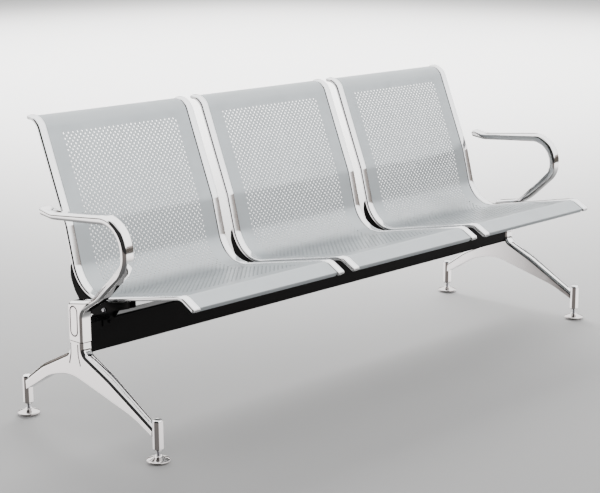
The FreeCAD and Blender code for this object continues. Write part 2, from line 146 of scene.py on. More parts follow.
set_ramp(white_walls, [(0.0, 0.06), (0.20, 0.14), (0.30, 0.35), (0.37, (0.85, 0.80, 0.79)), (0.43, 1.0),
                       (0.450, (0.05, 0.045, 0.04)), (0.550, (0.05, 0.045, 0.04)),
                       (0.568, (0.16, 0.14, 0.13)), (0.592, (0.22, 0.20, 0.19)), (0.606, 1.0), (0.80, 1.1)])
set_ramp(dark_wall, [(0.0, 0.04), (0.20, 0.05), (0.43, (0.08, 0.07, 0.066)), (0.450, 0.012), (0.90, 0.012),
                     (0.93, 0.6)])
set_ramp(wall_edges, [(0.0, 0.0), (0.195, 0.0), (0.215, 1.0), (0.893, 1.0), (0.905, 0.0)])
brightened.blend_type = "MULTIPLY"
brightened.inputs[0].default_value = 1.0
brightened.inputs[2].default_value = (room_brightness, room_brightness, room_brightness, 1.0)
seen_or_lit.inputs[1].default_value = (*room_light, 1.0)
links.new(direction.outputs["Generated"], split.inputs[0])
links.new(direction.outputs["Generated"], around.inputs["Vector"])
links.new(split.outputs["Z"], height_map.inputs["Value"])
links.new(height_map.outputs["Result"], white_walls.inputs["Fac"])
links.new(height_map.outputs["Result"], dark_wall.inputs["Fac"])
links.new(around.outputs["Fac"], wall_edges.inputs["Fac"])
links.new(wall_edges.outputs["Color"], walls.inputs[0])
links.new(dark_wall.outputs["Color"], walls.inputs[1])
links.new(white_walls.outputs["Color"], walls.inputs[2])
links.new(walls.outputs["Color"], brightened.inputs[1])
links.new(paths.outputs["Is Glossy Ray"], seen_or_lit.inputs[0])
links.new(brightened.outputs["Color"], seen_or_lit.inputs[2])
links.new(seen_or_lit.outputs["Color"], nodes["Background"].inputs["Color"])
nodes["Background"].inputs["Strength"].default_value = 1.0


# Seat shells
# One sheet of steel 1.5 mm thick for each seat, punched with rows of small round holes, folded at its
# ends, powder-coated silver and welded between its rails. It is bent to the seat's side profile: a
# curled top, a back with a kink at the waist, a wide bend, a rising seat and a front that turns down.
beam_low, beam_high = (Vector(corner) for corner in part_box("beam"))
beam_middle = (beam_low.y + beam_high.y) / 2
beam_top = beam_high.z
rail_face = [
    (0.2615, 0.783, 0.0),
    (0.2205, 0.783, 0.049),
    (0.1115, 0.516, 0.045),
    (0.0645, 0.3345, 0.090),
    (-0.3145, 0.407, 0.042),
    (-0.3615, 0.3805, 0.0),
]


def unit(start, end):
    return (Vector(end[:2]) - Vector(start[:2])).normalized()


def beside(corners, distance):
    """The same profile, moved sideways by a distance: to the back of the seat where it is positive."""
    runs = [unit(a, b) for a, b in zip(corners, corners[1:])]
    first, last = Vector(corners[0][:2]), Vector(corners[-1][:2])
    first += Vector((-runs[0].y, runs[0].x)) * distance
    last += Vector((-runs[-1].y, runs[-1].x)) * distance
    moved = [(first.x, first.y, 0.0)]
    for corner, before, after in zip(corners[1:], runs, runs[1:]):
        turn = before.cross(after)
        share = (1 - before.dot(after)) / turn
        here = Vector(corner[:2]) + distance * Vector((-before.y, before.x)) - distance * share * before
        radius = corner[2] - math.copysign(distance, turn) if corner[2] else 0.0
        moved.append((here.x, here.y, radius))
    moved.append((last.x, last.y, 0.0))
    return moved


def runs_of(corners):
    """Straight runs (start, end) and bends (start, end, centre, turn) of a profile."""
    runs = []
    pen = Vector(corners[0][:2])
    for before, here, after in zip(corners, corners[1:], corners[2:]):
        back, ahead = unit(here, before), unit(here, after)
        half = back.angle(ahead) / 2
        reach = here[2] / math.tan(half)
        start, end = Vector(here[:2]) + back * reach, Vector(here[:2]) + ahead * reach
        runs.append((pen, start))
        if here[2]:
            centre = Vector(here[:2]) + (back + ahead).normalized() * here[2] / math.sin(half)
            turn = math.copysign(math.pi - 2 * half, (-back).cross(ahead))
            runs.append((start, end, centre, turn))
        pen = end
    runs.append((pen, Vector(corners[-1][:2])))
    return runs


def run_length(run):
    if len(run) == 2:
        return (run[1] - run[0]).length
    return abs(run[3]) * (run[0] - run[2]).length


def place_along(runs, distance):
    """Point of the profile at a distance along it."""
    for run in runs:
        length = run_length(run)
        if distance <= length or run is runs[-1]:
            share = distance / length
            if len(run) == 2:
                return run[0].lerp(run[1], share)
            arm = run[0] - run[2]
            arm.rotate(Matrix.Rotation(run[3] * share, 2))
            return run[2] + arm
        distance -= length


def effect_group(name, sockets, outputs):
    """An effect that several finishes share, with its named inputs and outputs."""
    group = bpy.data.node_groups.new(name, "ShaderNodeTree")
    for label, value in sockets:
        socket = group.interface.new_socket(label, in_out="INPUT", socket_type="NodeSocketFloat")
        socket.default_value = value
    for label in outputs:
        group.interface.new_socket(label, in_out="OUTPUT", socket_type="NodeSocketFloat")
    return group, group.nodes.new("NodeGroupInput"), group.nodes.new("NodeGroupOutput")


coat_skin, skin_in, skin_out = effect_group("coat_skin", [("Scale", 900.0)], ["Height"])
place = coat_skin.nodes.new("ShaderNodeTexCoord")
peel = coat_skin.nodes.new("ShaderNodeTexNoise")
peel.inputs["Detail"].default_value = 2.0
coat_skin.links.new(place.outputs["Object"], peel.inputs["Vector"])
coat_skin.links.new(skin_in.outputs["Scale"], peel.inputs["Scale"])
coat_skin.links.new(peel.outputs["Fac"], skin_out.inputs["Height"])

handling, hand_in, hand_out = effect_group("handling", [("Scale", 9.0), ("Low", 0.05), ("High", 0.12)],
                                          ["Roughness"])
place = handling.nodes.new("ShaderNodeTexCoord")
smear = handling.nodes.new("ShaderNodeTexNoise")
smear.inputs["Detail"].default_value = 5.0
smear.inputs["Distortion"].default_value = 1.2
spread = handling.nodes.new("ShaderNodeMapRange")
spread.inputs["From Min"].default_value = 0.35
spread.inputs["From Max"].default_value = 0.70
handling.links.new(place.outputs["Object"], smear.inputs["Vector"])
handling.links.new(hand_in.outputs["Scale"], smear.inputs["Scale"])
handling.links.new(smear.outputs["Fac"], spread.inputs["Value"])
handling.links.new(hand_in.outputs["Low"], spread.inputs["To Min"])
handling.links.new(hand_in.outputs["High"], spread.inputs["To Max"])
handling.links.new(spread.outputs["Result"], hand_out.inputs["Roughness"])

settled_dust, dust_in, dust_out = effect_group("settled_dust", [("Amount", 0.15)], ["Mask"])
place = settled_dust.nodes.new("ShaderNodeTexCoord")
shape = settled_dust.nodes.new("ShaderNodeNewGeometry")
upward = settled_dust.nodes.new("ShaderNodeSeparateXYZ")
facing = settled_dust.nodes.new("ShaderNodeMapRange")
facing.inputs["From Min"].default_value = 0.3
patches = settled_dust.nodes.new("ShaderNodeTexNoise")
patches.inputs["Scale"].default_value = 14.0
patches.inputs["Detail"].default_value = 6.0
times = settled_dust.nodes.new("ShaderNodeMath")
times.operation = "MULTIPLY"
scaled = settled_dust.nodes.new("ShaderNodeMath")
scaled.operation = "MULTIPLY"
settled_dust.links.new(shape.outputs["Normal"], upward.inputs[0])
settled_dust.links.new(upward.outputs["Z"], facing.inputs["Value"])
settled_dust.links.new(place.outputs["Object"], patches.inputs["Vector"])
settled_dust.links.new(facing.outputs["Result"], times.inputs[0])
settled_dust.links.new(patches.outputs["Fac"], times.inputs[1])
settled_dust.links.new(times.outputs["Value"], scaled.inputs[0])
settled_dust.links.new(dust_in.outputs["Amount"], scaled.inputs[1])
settled_dust.links.new(scaled.outputs["Value"], dust_out.inputs["Mask"])


def use_group(nodes, group, **values):
    """Places a shared effect in a material, with the material's own values."""
    node = nodes.new("ShaderNodeGroup")
    node.node_tree = group
    for label, value in values.items():
        node.inputs[label].default_value = value
    return node


def coated(name, colour, dust_colour, roughness, metallic, skin_depth, dust, shine=0.5):
    """A powder or plated coat: its colour under a little dust, uneven gloss and a fine skin."""
    material, nodes, links = new_material(name)
    shader = nodes["Principled BSDF"]
    shader.inputs["Metallic"].default_value = metallic
    shader.inputs["Specular IOR Level"].default_value = shine
    gloss = use_group(nodes, handling, Scale=12.0, Low=roughness[0], High=roughness[1])
    links.new(gloss.outputs["Roughness"], shader.inputs["Roughness"])
    dusty = use_group(nodes, settled_dust, Amount=dust)
    tint = nodes.new("ShaderNodeMixRGB")
    tint.inputs[1].default_value = (*colour, 1.0)
    tint.inputs[2].default_value = (*dust_colour, 1.0)
    links.new(dusty.outputs["Mask"], tint.inputs[0])
    links.new(tint.outputs["Color"], shader.inputs["Base Color"])
    skin = use_group(nodes, coat_skin, Scale=700.0)
    bump = nodes.new("ShaderNodeBump")
    bump.inputs["Strength"].default_value = skin_depth
    bump.inputs["Distance"].default_value = 0.0005
    links.new(skin.outputs["Height"], bump.inputs["Height"])
    links.new(bump.outputs["Normal"], shader.inputs["Normal"])
    return material


seat_names = ["left", "middle", "right"]
side_names = ["left", "right"]
sheet_thickness = 0.0015
sheet_setback = 0.003
sheet_crest_radius = 0.012
sheet_end_gap = 0.005
hem_radius = 0.0025
hem_length = 0.012
hole_radius = 0.0027
hole_cell = 0.0075
hole_corners = 12
plain_side_margin = 0.037
plain_top_margin = 0.072
plain_front_margin = 0.040
margin_step = 0.003

silver_coat = coated("silver_powder_coat", (0.43, 0.46, 0.475), (0.45, 0.45, 0.44), (0.30, 0.42),
                     metallic=0.55, skin_depth=0.10, dust=0.25)


def sheet_profile():
    """Front face of the sheet, with the small folds at its two ends."""
    line = beside(rail_face, sheet_setback)
    line[4] = (line[4][0], line[4][1], sheet_crest_radius)
    top = Vector(line[0][:2]) + unit(line[0], line[1]) * sheet_end_gap
    lip_run = unit(line[4], line[5])
    lip = Vector(line[5][:2]) - lip_run * sheet_end_gap
    hem_behind = Vector((-lip_run.y, lip_run.x)) * hem_length
    top_hem = (top.x, top.y - hem_length, 0.0)
    lip_hem = (*(lip + hem_behind), 0.0)
    return [top_hem, (*top, hem_radius)] + line[1:5] + [(*lip, hem_radius), lip_hem]


def punched_cell(bm, x, y):
    """One square of sheet with a round hole in it."""
    spot = Matrix.Translation((x, y, 0))
    square = bmesh.ops.create_circle(bm, segments=4, radius=hole_cell / math.sqrt(2),
                                     matrix=spot @ Matrix.Rotation(math.pi / 4, 4, "Z"))
    hole = bmesh.ops.create_circle(bm, segments=hole_corners, radius=hole_radius, matrix=spot)
    verts = set(square["verts"] + hole["verts"])
    bmesh.ops.bridge_loops(bm, edges=[e for e in bm.edges if e.verts[0] in verts])


def repeat(bm, count, step):
    """Copies everything in the mesh side by side."""
    first = list(bm.verts) + list(bm.edges) + list(bm.faces)
    for k in range(1, count):
        copy = bmesh.ops.duplicate(bm, geom=first)["geom"]
        bmesh.ops.translate(bm, verts=[v for v in copy if isinstance(v, bmesh.types.BMVert)], vec=step * k)


def drawn_out(bm, edges, step):
    """Extends an open edge of a sheet and gives back the new edge."""
    grown = bmesh.ops.extrude_edge_only(bm, edges=edges)["geom"]
    verts = [v for v in grown if isinstance(v, bmesh.types.BMVert)]
    bmesh.ops.translate(bm, verts=verts, vec=step)
    new_edge = set(verts)
    return [e for e in grown if isinstance(e, bmesh.types.BMEdge) and new_edge.issuperset(e.verts)]


def edges_at(bm, axis, value):
    return [e for e in bm.edges if all(abs(v.co[axis] - value) < 1e-5 for v in e.verts)]


def flat_punched_sheet(width, length, first_row, last_row):
    """The sheet before it is bent: X across, Y along the profile from the top hem."""
    bm = bmesh.new()
    tile = 2 * hole_cell
    for x, y in ((0.5, 0.5), (1.5, 1.5)):
        punched_cell(bm, x * hole_cell, y * hole_cell)
    for x, y in ((1.5, 0.5), (0.5, 1.5)):
        bmesh.ops.create_grid(bm, x_segments=1, y_segments=1, size=hole_cell / 2,
                              matrix=Matrix.Translation((x * hole_cell, y * hole_cell, 0)))
    across = int((width - 2 * plain_side_margin) / tile)
    along = int((last_row - first_row) / tile)
    repeat(bm, across, Vector((tile, 0, 0)))
    bmesh.ops.remove_doubles(bm, verts=bm.verts, dist=1e-5)
    repeat(bm, along, Vector((0, tile, 0)))
    bmesh.ops.remove_doubles(bm, verts=bm.verts, dist=1e-5)
    bmesh.ops.translate(bm, verts=bm.verts, vec=(-across * tile / 2, first_row, 0))
    margin = (width - across * tile) / 2
    for side in (-1, 1):
        drawn_out(bm, edges_at(bm, 0, side * across * tile / 2), Vector((side * margin, 0, 0)))
    for start, end in ((first_row, 0.0), (first_row + along * tile, length)):
        rim = edges_at(bm, 1, start)
        steps = math.ceil(abs(end - start) / margin_step)
        for _ in range(steps):
            rim = drawn_out(bm, rim, Vector((0, (end - start) / steps, 0)))
    return bm


def new_piece(name, bm, material, body, replaced=()):
    """A finished mesh as a piece of the object, riding on its body."""
    mesh = bpy.data.meshes.new(name)
    bm.to_mesh(mesh)
    bm.free()
    mesh.materials.append(material)
    piece = bpy.data.objects.new(name, mesh)
    bpy.context.scene.collection.objects.link(piece)
    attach(piece, body)
    if replaced:
        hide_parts(*replaced)
    return piece


def smooth_faces(piece, angle=35.0):
    """Smooth shading, with sharp folds left sharp and flat faces left flat."""
    piece.data.shade_smooth()
    piece.data.set_sharp_from_angle(angle=math.radians(angle))
    flat = piece.modifiers.new("flat_faces", "WEIGHTED_NORMAL")
    flat.keep_sharp = True


def settle(piece):
    """Applies the piece's modifiers to its mesh."""
    bpy.context.view_layer.update()
    done = piece.evaluated_get(bpy.context.evaluated_depsgraph_get())
    mesh = bpy.data.meshes.new_from_object(done)
    piece.modifiers.clear()
    piece.data = mesh


sheet_line = sheet_profile()
sheet_runs = runs_of(sheet_line)
sheet_length = sum(run_length(run) for run in sheet_runs)
sheet_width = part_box("seat_shell_left")[1][0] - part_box("seat_shell_left")[0][0]
crest_distance = sum(run_length(run) for run in sheet_runs[:-4])
flat_sheet = flat_punched_sheet(sheet_width, sheet_length, hem_length + plain_top_margin,
                                crest_distance - plain_front_margin)
for vert in flat_sheet.verts:
    spot = place_along(sheet_runs, vert.co.y)
    vert.co = (vert.co.x, beam_middle + spot.x, spot.y)
bmesh.ops.reverse_faces(flat_sheet, faces=flat_sheet.faces)
flat_sheet.normal_update()
for seat_name in seat_names:
    node = "seat_shell_" + seat_name
    low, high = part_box(node)
    bent = flat_sheet.copy()
    bmesh.ops.translate(bent, verts=bent.verts, vec=((low[0] + high[0]) / 2, 0, 0))
    shell = new_piece("perforated_shell_" + seat_name, bent, silver_coat, "bench", [node])
    wall = shell.modifiers.new("wall", "SOLIDIFY")
    wall.thickness = sheet_thickness
    wall.offset = -1.0
    settle(shell)
    smooth_faces(shell)
flat_sheet.free()


# Side rails
# Flattened steel tube, bent like the shell, closed and rounded at both ends, then chromed. One runs
# down each side of every seat, a little proud of the sheet.
rail_depth = 0.012
rail_corner = 0.0042
rail_ring_corners = 32
rail_end_round = 0.0044
rail_crown = 0.0011
bend_step = math.radians(3.0)


def chromed(name, colour, low, high):
    """Bright plated metal: mirror-like, with faint marks from hands and cloths."""
    material, nodes, links = new_material(name)
    shader = nodes["Principled BSDF"]
    shader.inputs["Metallic"].default_value = 1.0
    shader.inputs["Base Color"].default_value = (*colour, 1.0)
    gloss = use_group(nodes, handling, Scale=22.0, Low=low, High=high)
    links.new(gloss.outputs["Roughness"], shader.inputs["Roughness"])
    dusty = use_group(nodes, settled_dust, Amount=0.10)
    tint = nodes.new("ShaderNodeMixRGB")
    tint.inputs[1].default_value = (*colour, 1.0)
    tint.inputs[2].default_value = (0.70, 0.68, 0.66, 1.0)
    links.new(dusty.outputs["Mask"], tint.inputs[0])
    links.new(tint.outputs["Color"], shader.inputs["Base Color"])
    return material


rail_chrome = chromed("rail_chrome", (0.88, 0.88, 0.885), 0.06, 0.13)


def sweep(bm, ring, runs, x, step=bend_step):
    """Draws a ring of edges along a profile that lies in the plane at x."""
    for run in runs:
        if len(run) == 2:
            if (run[1] - run[0]).length > 1e-6:
                ring = drawn_out(bm, ring, Vector((0, *(run[1] - run[0]))))
            continue
        start, end, centre, turn = run
        verts = list({v for e in ring for v in e.verts})
        spun = bmesh.ops.spin(bm, geom=verts + ring, cent=(x, centre.x, centre.y), axis=(1, 0, 0),
                              angle=turn, steps=max(2, math.ceil(abs(turn) / step)), use_duplicate=False)
        ring = [e for e in spun["geom_last"] if isinstance(e, bmesh.types.BMEdge)]
    return ring


def tube_ring(bm, width, depth, corner, x, start, heading, crown=0.0):
    """The outline of a tube with round corners, square to the heading at the start point. Its two wide
    faces can be a little crowned."""
    turn = math.atan2(-heading.x, heading.y)
    ring = bmesh.ops.create_circle(bm, segments=rail_ring_corners, radius=corner,
                                   matrix=Matrix.Rotation(math.pi / rail_ring_corners, 4, "Z"))["verts"]
    for vert in ring:
        vert.co.x += math.copysign(width / 2 - corner, vert.co.x)
        vert.co.y += math.copysign(depth / 2 - corner, vert.co.y)
    if crown:
        wide = [e for e in bm.edges if abs(e.verts[0].co.x - e.verts[1].co.x) > width / 4]
        bmesh.ops.subdivide_edges(bm, edges=wide, cuts=7)
        ring = bm.verts[:]
        for vert in ring:
            vert.co.y -= math.copysign(crown * (2 * vert.co.x / width) ** 2, vert.co.y)
    bmesh.ops.rotate(bm, verts=ring, cent=(0, 0, 0), matrix=Matrix.Rotation(turn, 3, "X"))
    bmesh.ops.translate(bm, verts=ring, vec=(x, start.x, start.y))
    return [e for e in bm.edges if e.verts[0] in ring and e.verts[1] in ring]


def in_part_frame(corners):
    """Side corners given from the beam's middle, moved to where the beam is."""
    return [(beam_middle + y, z, radius) for y, z, radius in corners]


def round_off(bm, edges, radius, segments):
    """Rounds edges of a mesh and gives back the new faces."""
    return bmesh.ops.bevel(bm, geom=edges, offset=radius, offset_type="OFFSET", segments=segments,
                           profile=0.5, affect="EDGES", clamp_overlap=True, material=-1)["faces"]


rail_middle_line = runs_of(in_part_frame(beside(rail_face, rail_depth / 2)))
for seat_name in seat_names:
    for side_name in side_names:
        node = "side_rail_" + seat_name + "_seat_" + side_name
        low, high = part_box(node)
        middle = (low[0] + high[0]) / 2
        bm = bmesh.new()
        heading = (rail_middle_line[0][1] - rail_middle_line[0][0]).normalized()
        top_ring = tube_ring(bm, high[0] - low[0], rail_depth, rail_corner, middle,
                             rail_middle_line[0][0], heading, rail_crown)
        front_ring = sweep(bm, top_ring, rail_middle_line, middle)
        bmesh.ops.holes_fill(bm, edges=top_ring + front_ring)
        bmesh.ops.recalc_face_normals(bm, faces=bm.faces)
        round_off(bm, top_ring + front_ring, rail_end_round, 4)
        rail = new_piece("bent_rail_" + seat_name + "_seat_" + side_name, bm, rail_chrome, "bench",
                         [node])
        smooth_faces(rail, 50.0)


# Beam
# A black powder-coated steel tube, 80 by 40 mm, that runs between the end frames and slides over a
# spigot of each casting.
black_coat = coated("black_powder_coat", (0.004, 0.004, 0.004), (0.05, 0.05, 0.05), (0.16, 0.26),
                    metallic=0.0, skin_depth=0.12, dust=0.12, shine=0.03)
beam_corner = 0.004

bm = bmesh.new()
size = beam_high - beam_low
centre = Matrix.Translation((beam_low + beam_high) / 2)
bmesh.ops.create_cube(bm, size=1.0, matrix=centre @ Matrix.Diagonal((*size, 1)))
long_edges = [e for e in bm.edges if abs(e.verts[0].co.x - e.verts[1].co.x) > size.x / 2]
round_off(bm, long_edges, beam_corner, 5)
beam = new_piece("beam_tube", bm, black_coat, "bench", ["beam"])
smooth_faces(beam)


# Armrests
# The upper casting of each end frame, in polished and chromed aluminium: a loop with a crowned
# outside that grows out of a short column. A line with round ends is let into the column's outer face.
casting_chrome = chromed("casting_chrome", (0.90, 0.89, 0.89), 0.05, 0.11)
# Dark chrome for the faces of the grooves and of the chamfer where leg and armrest meet: painted shade in
# these hollows.
painted_shade_chrome = chromed("painted_shade_chrome", (0.16, 0.15, 0.15), 0.20, 0.35)
column_half_depth = 0.027
joint_height = 0.248
joint_chamfer = 0.0011
arc_step = math.radians(3.0)


def drawn_outline(bm, corners, x):
    """A closed side outline with rounded corners, as one face in the plane at x."""
    starts = []
    count = len(corners)
    for i, here in enumerate(corners):
        before, after = corners[i - 1], corners[(i + 1) % count]
        back, ahead = unit(here, before), unit(here, after)
        half = back.angle(ahead) / 2
        reach = here[2] / math.tan(half) if here[2] else 0.0
        spot = Vector(here[:2]) + back * reach
        start = bm.verts.new((x, spot.x, spot.y))
        end = start
        if here[2]:
            centre = Vector(here[:2]) + (back + ahead).normalized() * here[2] / math.sin(half)
            turn = math.copysign(math.pi - 2 * half, (-back).cross(ahead))
            spun = bmesh.ops.spin(bm, geom=[start], cent=(x, centre.x, centre.y), axis=(1, 0, 0), angle=turn,
                                  steps=max(2, math.ceil(abs(turn) / arc_step)), use_duplicate=False)
            end = [v for v in spun["geom_last"] if isinstance(v, bmesh.types.BMVert)][0]
        starts.append((start, end))
    for (_, end), (start, _) in zip(starts, starts[1:] + starts[:1]):
        bm.edges.new((end, start))
    return bmesh.ops.contextual_create(bm, geom=bm.edges[:])["faces"]


def slab(corners, x, width):
    """A solid of the given width from its side outline."""
    bm = bmesh.new()
    face = drawn_outline(bm, corners, x)
    grown = bmesh.ops.extrude_face_region(bm, geom=face)["geom"]
    bmesh.ops.translate(bm, verts=[v for v in grown if isinstance(v, bmesh.types.BMVert)], vec=(width, 0, 0))
    bmesh.ops.recalc_face_normals(bm, faces=bm.faces)
    return bm


def side_edges(bm, low, high):
    """Edges that lie in the two side planes of a slab."""
    return [e for e in bm.edges if any(all(abs(v.co.x - x) < 1e-6 for v in e.verts) for x in (low, high))]


def on_joint(edge):
    return all(abs(v.co.z - joint_height) < 1e-6 for v in edge.verts)


def chamfer_joint(bm):
    """Breaks the edges where leg and armrest meet, and gives back the numbers of the new faces."""
    bm.normal_update()
    edges = [e for e in bm.edges if on_joint(e) and e.calc_face_angle(0.0) > 1.0]
    narrow = round_off(bm, edges, joint_chamfer, 1)
    bm.faces.index_update()
    return [face.index for face in narrow]


def carve(piece, cutter_mesh, operation="DIFFERENCE", finish=None):
    """Cuts another solid out of a piece, or joins it on. The new faces can have a finish of their own."""
    mesh = bpy.data.meshes.new("cutter")
    cutter_mesh.to_mesh(mesh)
    cutter_mesh.free()
    mesh.materials.append(finish or piece.data.materials[0])
    cutter = bpy.data.objects.new("cutter", mesh)
    bpy.context.scene.collection.objects.link(cutter)
    change = piece.modifiers.new("change", "BOOLEAN")
    change.operation = operation
    change.solver = "EXACT"
    change.material_mode = "TRANSFER"
    change.object = cutter
    settle(piece)
    bpy.data.objects.remove(cutter)


armrest_width = 0.035
armrest_round = 0.0088
armrest_crown = 0.0030
crown_start = 0.325
crown_full = 0.385
crown_front = -0.160
crown_back = 0.060
crown_strips = 8
armrest_line = [
    (-column_half_depth, joint_height, 0.0),
    (-column_half_depth, 0.325, 0.026),
    (-0.1045, 0.370, 0.200),
    (-0.204, 0.459, 0.075),
    (-0.204, 0.593, 0.088),
    (0.082, 0.564, 0.065),
    (0.128, 0.574, 0.0098),
    (0.134, 0.552, 0.0098),
    (0.082, 0.545, 0.065),
    (-0.179, 0.562, 0.063),
    (-0.179, 0.459, 0.065),
    (-0.0645, 0.363, 0.090),
    (column_half_depth, 0.347, 0.014),
    (column_half_depth, joint_height, 0.0),
]
panel_half_width = 0.0135
panel_low = 0.262
panel_high = 0.338
panel_middle = 0.002
groove_radius = 0.0021
groove_sink = 0.0017


def groove_cutter(runs, x, radius):
    """A round rod along a profile, to cut a groove with. Where the profile closes, so does the rod."""
    bm = bmesh.new()
    heading = (runs[0][1] - runs[0][0]).normalized()
    first = tube_ring(bm, 2 * radius, 2 * radius, radius, x, runs[0][0], heading)
    last = sweep(bm, first, runs, x)
    if (runs[0][0] - runs[-1][1]).length < 1e-6:
        bmesh.ops.remove_doubles(bm, verts=bm.verts, dist=1e-6)
    else:
        bmesh.ops.holes_fill(bm, edges=first + last)
    bmesh.ops.recalc_face_normals(bm, faces=bm.faces)
    return bm


def panel_runs():
    """The outline with round ends that is let into the column's outer face."""
    y = beam_middle + panel_middle
    low, high = panel_low + panel_half_width, panel_high - panel_half_width
    corners = [Vector((y - panel_half_width, low)), Vector((y - panel_half_width, high)),
               Vector((y + panel_half_width, high)), Vector((y + panel_half_width, low))]
    return [(corners[0], corners[1]), (corners[1], corners[2], Vector((y, high)), -math.pi),
            (corners[2], corners[3]), (corners[3], corners[0], Vector((y, low)), -math.pi)]


def add_finish(piece, finish, faces):
    """Gives some faces of a piece a finish of their own."""
    piece.data.materials.append(finish)
    for index in faces:
        piece.data.polygons[index].material_index = len(piece.data.materials) - 1


def crown(bm, middle):
    """Rounds the loop's outside and inside across its width, less towards the column and the tip."""
    bm.normal_update()
    moves = []
    for vert in bm.verts:
        inward = -Vector((0, vert.normal.y, vert.normal.z))
        above = min(1.0, max(0.0, (vert.co.z - crown_start) / (crown_full - crown_start)))
        ahead = min(1.0, max(0.0, (crown_back - vert.co.y) / (crown_back - crown_front)))
        if inward.length > 1e-3:
            drop = armrest_crown * above * ahead * ((vert.co.x - middle) / (armrest_width / 2)) ** 2
            moves.append((vert, inward.normalized() * drop))
    for vert, move in moves:
        vert.co += move


for side_name, side in zip(side_names, (-1, 1)):
    node = "armrest_casting_" + side_name
    low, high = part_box(node)
    outer_x = low[0] if side < 0 else high[0]
    middle = outer_x - side * armrest_width / 2
    bm = slab(in_part_frame(armrest_line), outer_x, -side * armrest_width)
    rims = [e for e in side_edges(bm, outer_x, outer_x - side * armrest_width) if not on_joint(e)]
    round_off(bm, rims, armrest_round, 8)
    across = [e for e in bm.edges if abs(e.verts[0].co.x - e.verts[1].co.x) > armrest_width / 2]
    bmesh.ops.subdivide_edges(bm, edges=across, cuts=crown_strips - 1, use_grid_fill=True)
    crown(bm, middle)
    narrow = chamfer_joint(bm)
    armrest = new_piece("armrest_" + side_name, bm, casting_chrome, "bench", [node])
    # The chamfer faces at the joint get painted shade.
    add_finish(armrest, painted_shade_chrome, narrow)
    groove_x = outer_x + side * (groove_radius - groove_sink)
    # The faces of the groove around the panel get painted shade.
    carve(armrest, groove_cutter(panel_runs(), groove_x, groove_radius), finish=painted_shade_chrome)
    smooth_faces(armrest, 40.0)


# Legs
# The lower casting of each end frame, finished like the armrest: a fork that narrows towards a round
# socket at each end, with a channel along its top and two short grooves below the column.
leg_front_reach = 0.2855
leg_rear_reach = 0.2315
leg_line = [
    (-column_half_depth, joint_height, 0.0),
    (-column_half_depth, 0.220, 0.022),
    (-0.120, 0.177, 0.260),
    (-leg_front_reach, 0.084, 0.0),
    (-leg_front_reach, 0.062, 0.0),
    (-0.205, 0.100, 0.300),
    (0.025, 0.163, 0.150),
    (0.110, 0.139, 0.150),
    (leg_rear_reach, 0.069, 0.0),
    (leg_rear_reach, 0.1005, 0.0),
    (0.150, 0.1575, 0.220),
    (column_half_depth, 0.217, 0.022),
    (column_half_depth, joint_height, 0.0),
]
leg_waist = 0.060
leg_end_width = 0.023
leg_top_round = 0.0120
leg_low_round = 0.0080
socket_radius = 0.013
socket_low = 0.0295
socket_high = 0.109
socket_round = 0.0065
channel_radius = 0.0065
channel_sink = 0.0036
channel_lines = [
    [(-0.038, 0.211, 0.0), (-0.120, 0.177, 0.260), (-0.262, 0.0972, 0.0)],
    [(0.038, 0.2117, 0.0), (0.150, 0.1575, 0.220), (0.209, 0.1163, 0.0)],
]
groove_middle = 0.004


def leg_width_at(y):
    """The leg's width at a distance in front of the beam's middle or behind it."""
    reach = leg_front_reach if y < 0 else leg_rear_reach
    share = min(1.0, max(0.0, (abs(y) - leg_waist) / (reach - leg_waist)))
    eased = share * share * (3 - 2 * share)
    return armrest_width + (leg_end_width - armrest_width) * (0.35 * eased + 0.65 * share)


def turned(profile, x, y, steps=48):
    """A turned solid from its half section, a list of radius and height, about an upright axis."""
    bm = bmesh.new()
    verts = [bm.verts.new((x + radius, y, height)) for radius, height in profile]
    edges = [bm.edges.new(pair) for pair in zip(verts, verts[1:])]
    bmesh.ops.spin(bm, geom=verts + edges, cent=(x, y, 0), axis=(0, 0, 1), angle=2 * math.pi, steps=steps,
                   use_merge=True, use_duplicate=False)
    bmesh.ops.remove_doubles(bm, verts=bm.verts, dist=1e-6)
    bmesh.ops.recalc_face_normals(bm, faces=bm.faces)
    return bm


def rounded_bar_profile(radius, low, high, edge, steps=5):
    """Half section of an upright bar with rounded rims."""
    lower = [(radius - edge + edge * math.sin(a), low + edge - edge * math.cos(a))
             for a in (k * math.pi / 2 / steps for k in range(steps + 1))]
    upper = [(r, low + high - z) for r, z in reversed(lower)]
    return [(0.0, low)] + lower + upper + [(0.0, high)]


